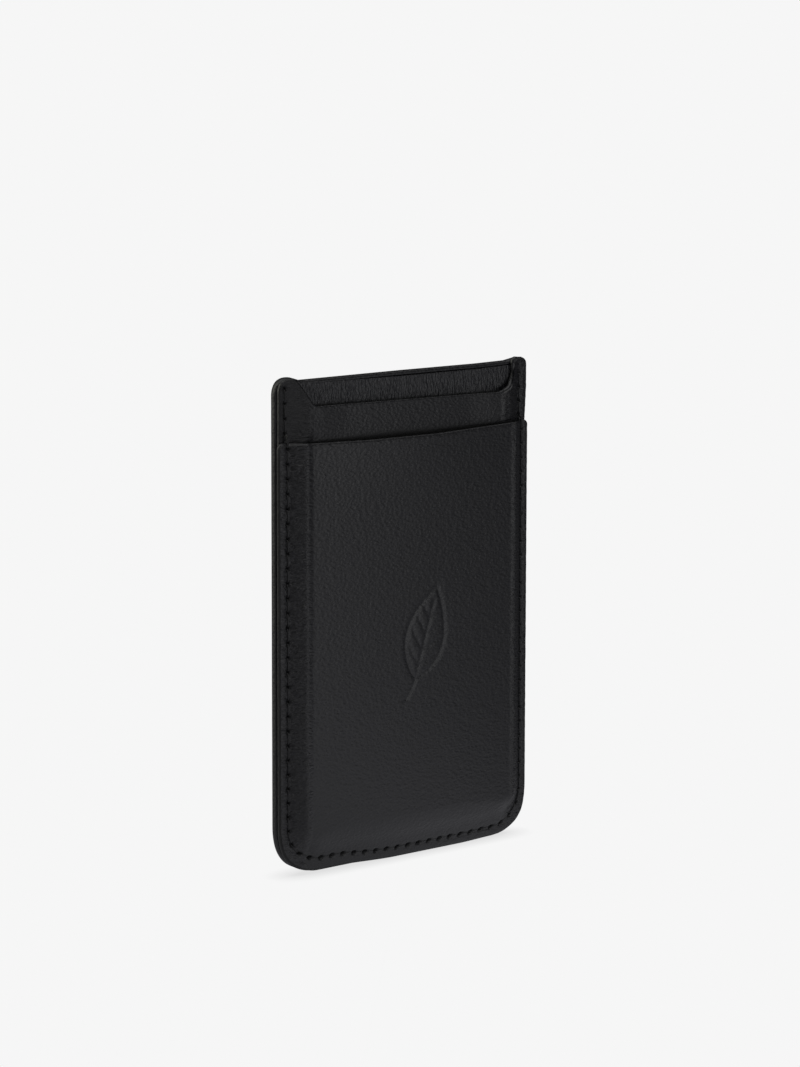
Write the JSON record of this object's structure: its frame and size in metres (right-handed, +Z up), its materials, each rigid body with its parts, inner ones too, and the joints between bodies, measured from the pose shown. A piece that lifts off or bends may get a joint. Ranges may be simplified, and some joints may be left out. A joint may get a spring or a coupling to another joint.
{
  "type": "card holder",
  "caption": "Slim upright leather card holder with a full-height rear pocket under a thumb scoop and a shorter front pocket, sewn on three sides.",
  "frame": {"origin": "middle of the bottom edge, halfway through the thickness", "axes": "+Z up towards the pocket mouths, -Y out of the front, +X to the right as the front is faced"},
  "size_m": [0.065, 0.005, 0.0969],
  "materials": {
    "calf_leather": "smooth full-grain calf, semi-matt black",
    "grained_lining_leather": "fine-grained lining leather, satin black",
    "pocket_lining": "thin woven lining, matt black",
    "bonded_board": "raw bonded leather board",
    "waxed_thread": "bonded and waxed polyester thread, black"
  },
  "bodies": {
    "root": {"back_outer_panel": "calf_leather", "back_core_board": "bonded_board", "back_inner_lining": "grained_lining_leather", "middle_pocket_panel": "calf_leather", "middle_pocket_lining": "pocket_lining", "front_pocket_panel": "calf_leather", "front_pocket_lining": "pocket_lining", "front_stiffener_sheet": "bonded_board", "needle_thread": "waxed_thread", "bobbin_thread": "waxed_thread"}
  },
  "joints": []
}
